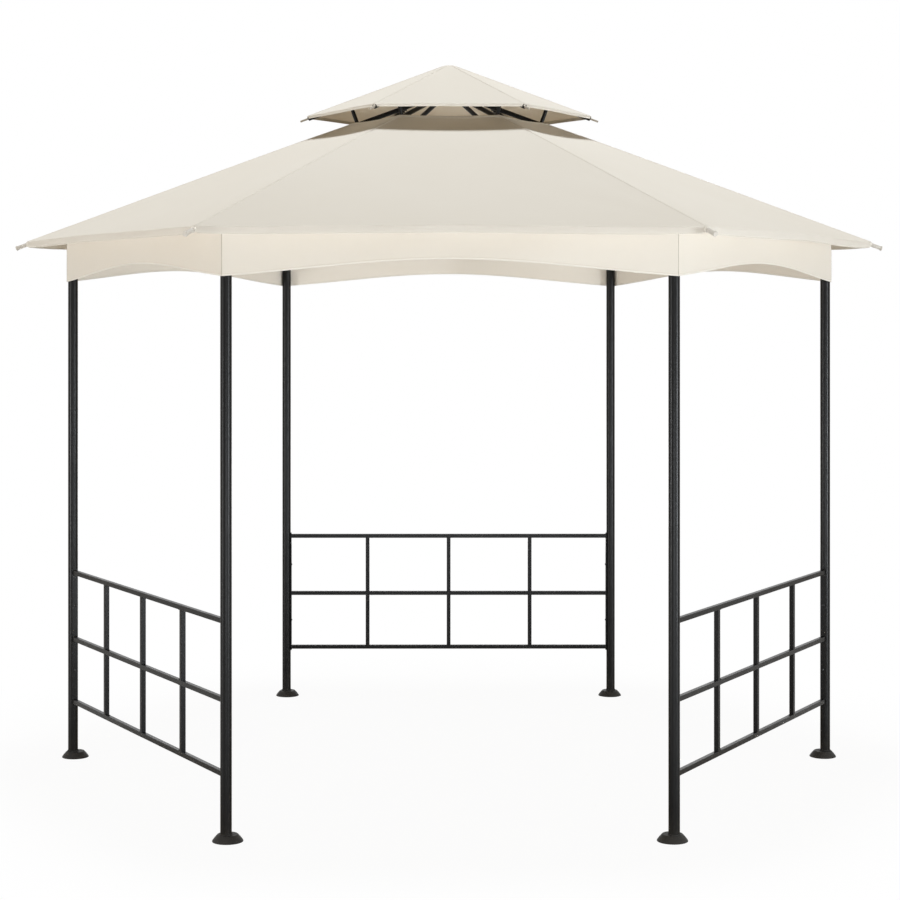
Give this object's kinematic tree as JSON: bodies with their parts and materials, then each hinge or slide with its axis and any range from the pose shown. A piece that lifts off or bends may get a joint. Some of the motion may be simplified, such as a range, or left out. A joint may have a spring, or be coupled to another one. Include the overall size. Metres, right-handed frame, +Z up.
{
  "type": "garden gazebo",
  "caption": "Hexagonal garden gazebo: steel posts, low rail panels on some sides, pale cloth roof in two tiers with a vent and an arched valance. Shades a seating area.",
  "frame": {"origin": "on the ground, at the middle of the gazebo", "axes": "+Z up, the open front looks toward -Y, two posts stand on the X axis"},
  "size_m": [3.5734, 3.0992, 2.8461],
  "materials": {
    "black_steel": "satin powder coat",
    "black_plastic": "matte",
    "grey_plastic": "matte",
    "roof_cloth": "plain weave"
  },
  "bodies": {
    "root": {"beam_back": "black_steel", "beam_back_left": "black_steel", "beam_back_right": "black_steel", "beam_front": "black_steel", "beam_front_left": "black_steel", "beam_front_right": "black_steel", "corner_brackets": "black_steel", "crown_canopy": "roof_cloth", "crown_hub": "black_steel", "crown_post": "black_steel", "crown_rafters": "black_steel", "crown_struts": "black_steel", "crown_tips": "grey_plastic", "eave_tips": "grey_plastic", "foot_back_left": "black_plastic", "foot_back_right": "black_plastic", "foot_front_left": "black_plastic", "foot_front_right": "black_plastic", "foot_left": "black_plastic", "foot_right": "black_plastic", "main_hub": "black_steel", "post_back_left": "black_steel", "post_back_right": "black_steel", "post_front_left": "black_steel", "post_front_right": "black_steel", "post_left": "black_steel", "post_right": "black_steel", "rafter_back_left": "black_steel", "rafter_back_right": "black_steel", "rafter_front_left": "black_steel", "rafter_front_right": "black_steel", "rafter_left": "black_steel", "rafter_right": "black_steel", "rail_panel_back": "black_steel", "rail_panel_front_left": "black_steel", "rail_panel_front_right": "black_steel", "roof_panel_back": "roof_cloth", "roof_panel_back_left": "roof_cloth", "roof_panel_back_right": "roof_cloth", "roof_panel_front": "roof_cloth", "roof_panel_front_left": "roof_cloth", "roof_panel_front_right": "roof_cloth", "valances": "roof_cloth"}
  },
  "joints": []
}
